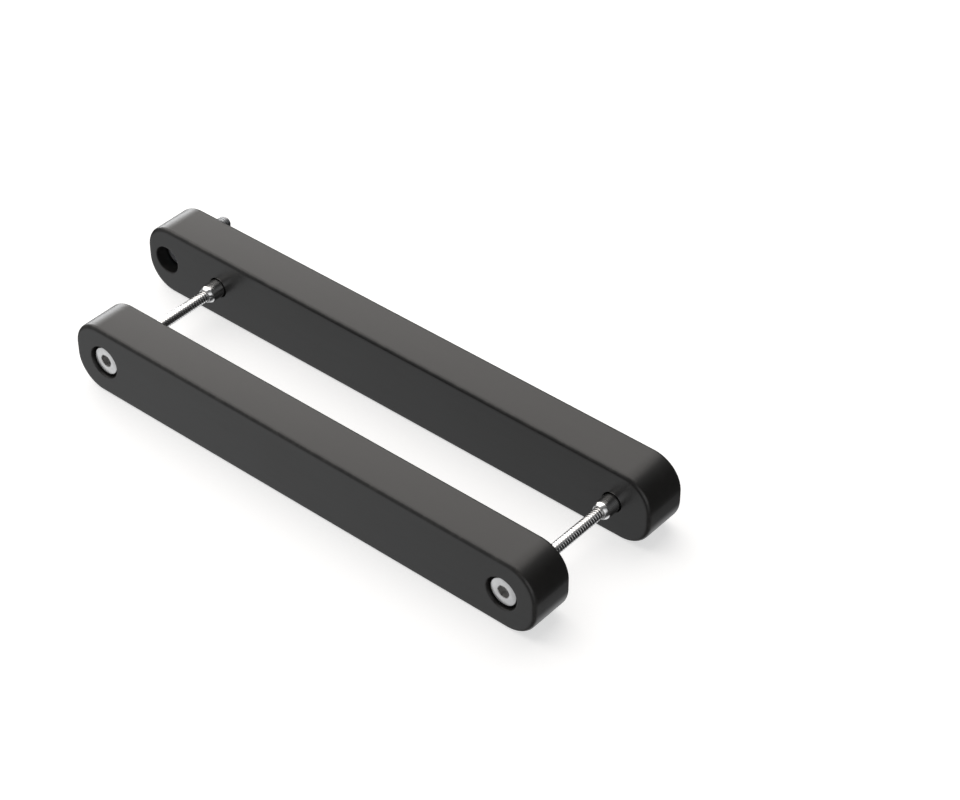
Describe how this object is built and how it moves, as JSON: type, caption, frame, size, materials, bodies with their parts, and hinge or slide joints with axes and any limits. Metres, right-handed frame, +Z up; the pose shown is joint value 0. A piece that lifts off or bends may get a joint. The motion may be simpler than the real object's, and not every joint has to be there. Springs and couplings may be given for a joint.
{
  "type": "banister clamp",
  "caption": "Banister clamp for a stair gate: two black bars with rounded ends, drawn together by threaded rods in flanged sleeve nuts, with a screw to the gate post.",
  "frame": {"origin": "bottom centre of the clamp's bounding box, on the surface that both bars stand on", "axes": "+X along the bars, towards the end without the gate screw; +Y from the front bar to the rear bar, along the rods; +Z up"},
  "size_m": [0.334, 0.1264, 0.04],
  "materials": {
    "black_lacquer": "satin black lacquer on solid beech",
    "bright_plate": "bright nickel-plated steel, turned",
    "rod_steel": "bright plated steel with a rolled thread",
    "screw_zinc": "zinc-plated steel"
  },
  "bodies": {
    "rear_bar": {"rear_bar": "black_lacquer", "rear_left_nut": "bright_plate", "rear_right_nut": "bright_plate"},
    "front_bar": {"front_bar": "black_lacquer"},
    "left_screw": {"front_left_nut": "bright_plate", "left_rod": "rod_steel"},
    "right_screw": {"front_right_nut": "bright_plate", "right_rod": "rod_steel"},
    "gate_screw": {"gate_screw": "screw_zinc"}
  },
  "joints": [
    {"name": "clamp_slide", "type": "slide", "parent": "rear_bar", "child": "front_bar", "axis": [0, 1, 0], "range_m": [-0.004, 0.0175]},
    {"name": "left_nut_turn", "type": "hinge", "parent": "front_bar", "child": "left_screw", "pos_m": [-0.1155, -0.06175, 0.02], "axis": [0, 1, 0], "range_deg": [-900, 3937.5]},
    {"name": "right_nut_turn", "type": "hinge", "parent": "front_bar", "child": "right_screw", "pos_m": [0.1445, -0.06175, 0.02], "axis": [0, 1, 0], "range_deg": [-900, 3937.5]},
    {"name": "gate_screw_turn", "type": "hinge", "parent": "rear_bar", "child": "gate_screw", "pos_m": [-0.153, 0.02525, 0.02], "axis": [0, 1, 0], "continuous": true}
  ],
  "couplings": [
    {"joint": "left_nut_turn", "follows": "clamp_slide", "rad_per_m": 3927},
    {"joint": "right_nut_turn", "follows": "clamp_slide", "rad_per_m": 3927}
  ]
}
